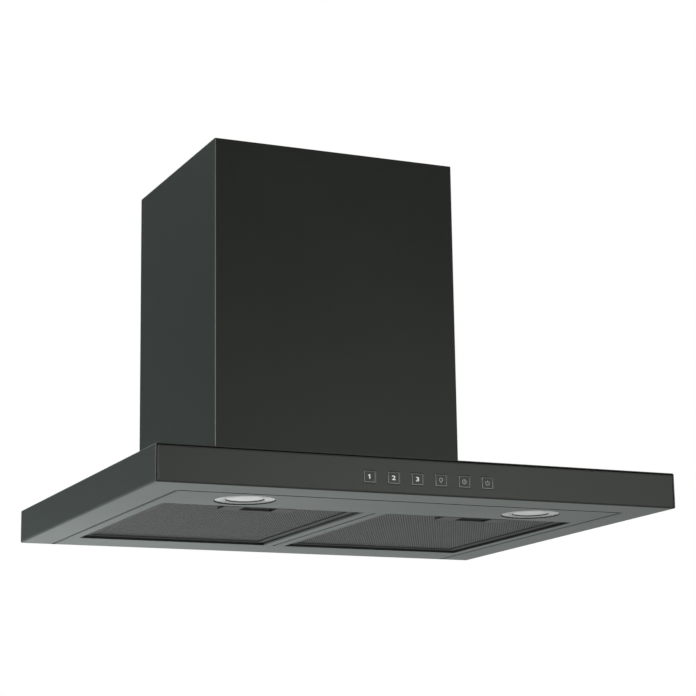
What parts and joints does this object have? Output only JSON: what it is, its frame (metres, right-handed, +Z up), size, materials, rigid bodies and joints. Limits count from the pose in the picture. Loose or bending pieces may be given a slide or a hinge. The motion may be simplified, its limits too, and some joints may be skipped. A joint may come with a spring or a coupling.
{
  "type": "chimney range hood",
  "caption": "Wall chimney range hood: flat dark steel canopy with push keys, lamps and tilting grease filters, square chimney cover, fan with a duct spigot.",
  "frame": {"origin": "on the wall plane, in the middle of the hood's width, level with the underside of the canopy", "axes": "+Z up, +Y into the wall, so the front faces -Y, +X to the right as seen from the front"},
  "size_m": [0.6, 0.5, 0.443],
  "materials": {
    "black_steel": "dark satin stainless steel, fine grain",
    "filter_aluminium": "dark anodised aluminium",
    "filter_foil": "expanded foil",
    "latch_metal": "dark anodised, satin",
    "spring_steel": "bright spring steel",
    "galvanised": "galvanised sheet",
    "housing_plastic": "moulded, fine texture",
    "damper_plastic": "moulded, fine texture",
    "motor_paint": "satin paint",
    "winding": "enamelled copper",
    "bright_steel": "ground steel",
    "capacitor_white": "moulded",
    "bezel_chrome": "polished",
    "frosted_lens": "frosted white",
    "lamp_metal": "die cast",
    "key_black": "satin black with a printed symbol",
    "circuit_board": "solder mask",
    "switch_black": "moulded",
    "lead_rubber": "soft insulation"
  },
  "bodies": {
    "hood": {"canopy_body": "black_steel", "front_fascia": "black_steel", "bottom_pan": "black_steel", "divider_rails": "black_steel", "chimney_lower": "black_steel", "blower_box": "galvanised", "housing_screws": "bright_steel", "scroll_left": "housing_plastic", "scroll_right": "housing_plastic", "motor_stator": "winding", "motor_bearings": "bright_steel", "motor_housing": "motor_paint", "motor_mount": "galvanised", "motor_screws": "bright_steel", "capacitor": "capacitor_white", "capacitor_clip": "galvanised", "outlet_collar": "damper_plastic", "damper_axle": "bright_steel", "led_boards": "circuit_board", "lamp_clips": "spring_steel", "key_frame": "housing_plastic", "control_board": "circuit_board", "key_switches": "switch_black", "power_module": "housing_plastic", "cable_gland": "damper_plastic", "wiring_loom": "lead_rubber", "lamp_bezel_left": "bezel_chrome", "lamp_lens_left": "frosted_lens", "lamp_body_left": "lamp_metal", "lamp_bezel_right": "bezel_chrome", "lamp_lens_right": "frosted_lens", "lamp_body_right": "lamp_metal"},
    "flue_upper": {"chimney_upper": "black_steel", "flue_bracket": "galvanised"},
    "fan": {"fan_wheel": "housing_plastic", "wheel_nut": "bright_steel", "motor_shaft": "bright_steel", "motor_rotor": "bright_steel"},
    "flap_front": {"damper_flap_front": "damper_plastic"},
    "flap_rear": {"damper_flap_rear": "damper_plastic"},
    "filter_left": {"filter_frame_left": "filter_aluminium", "filter_outer_mesh_left": "filter_aluminium", "filter_core_left": "filter_foil", "filter_inner_mesh_left": "filter_aluminium", "latch_plate_left": "latch_metal", "latch_spring_left": "spring_steel"},
    "latch_left": {"latch_slider_left": "latch_metal"},
    "filter_right": {"filter_frame_right": "filter_aluminium", "filter_outer_mesh_right": "filter_aluminium", "filter_core_right": "filter_foil", "filter_inner_mesh_right": "filter_aluminium", "latch_plate_right": "latch_metal", "latch_spring_right": "spring_steel"},
    "latch_right": {"latch_slider_right": "latch_metal"},
    "push_key_1": {"key_1": "key_black"},
    "push_key_2": {"key_2": "key_black"},
    "push_key_3": {"key_3": "key_black"},
    "push_key_4": {"key_4": "key_black"},
    "push_key_5": {"key_5": "key_black"},
    "push_key_6": {"key_6": "key_black"}
  },
  "joints": [
    {"name": "flue_slide", "type": "slide", "parent": "hood", "child": "flue_upper", "axis": [0, 0, 1], "range_m": [0, 0.34]},
    {"name": "fan_spin", "type": "hinge", "parent": "hood", "child": "fan", "pos_m": [0, -0.125, 0.15], "axis": [1, 0, 0], "continuous": true},
    {"name": "flap_front_hinge", "type": "hinge", "parent": "hood", "child": "flap_front", "pos_m": [0, -0.1, 0.3], "axis": [-1, 0, 0], "range_deg": [0, 80]},
    {"name": "flap_rear_hinge", "type": "hinge", "parent": "hood", "child": "flap_rear", "pos_m": [0, -0.1, 0.3], "axis": [1, 0, 0], "range_deg": [0, 80]},
    {"name": "filter_left_hinge", "type": "hinge", "parent": "hood", "child": "filter_left", "pos_m": [-0.13075, -0.0655, -0.0005], "axis": [1, 0, 0], "range_deg": [0, 70]},
    {"name": "latch_left_slide", "type": "slide", "parent": "filter_left", "child": "latch_left", "axis": [0, 1, 0], "range_m": [0, 0.005], "stiffness_N_per_m": 200, "springref_m": -0.004, "deforming": ["latch_spring_left"]},
    {"name": "filter_right_hinge", "type": "hinge", "parent": "hood", "child": "filter_right", "pos_m": [0.13075, -0.0655, -0.0005], "axis": [1, 0, 0], "range_deg": [0, 70]},
    {"name": "latch_right_slide", "type": "slide", "parent": "filter_right", "child": "latch_right", "axis": [0, 1, 0], "range_m": [0, 0.005], "stiffness_N_per_m": 200, "springref_m": -0.004, "deforming": ["latch_spring_right"]},
    {"name": "key_1_press", "type": "slide", "parent": "hood", "child": "push_key_1", "axis": [0, 1, 0], "range_m": [0, 0.0008], "stiffness_N_per_m": 300, "springref_m": -0.002},
    {"name": "key_2_press", "type": "slide", "parent": "hood", "child": "push_key_2", "axis": [0, 1, 0], "range_m": [0, 0.0008], "stiffness_N_per_m": 300, "springref_m": -0.002},
    {"name": "key_3_press", "type": "slide", "parent": "hood", "child": "push_key_3", "axis": [0, 1, 0], "range_m": [0, 0.0008], "stiffness_N_per_m": 300, "springref_m": -0.002},
    {"name": "key_4_press", "type": "slide", "parent": "hood", "child": "push_key_4", "axis": [0, 1, 0], "range_m": [0, 0.0008], "stiffness_N_per_m": 300, "springref_m": -0.002},
    {"name": "key_5_press", "type": "slide", "parent": "hood", "child": "push_key_5", "axis": [0, 1, 0], "range_m": [0, 0.0008], "stiffness_N_per_m": 300, "springref_m": -0.002},
    {"name": "key_6_press", "type": "slide", "parent": "hood", "child": "push_key_6", "axis": [0, 1, 0], "range_m": [0, 0.0008], "stiffness_N_per_m": 300, "springref_m": -0.002}
  ]
}
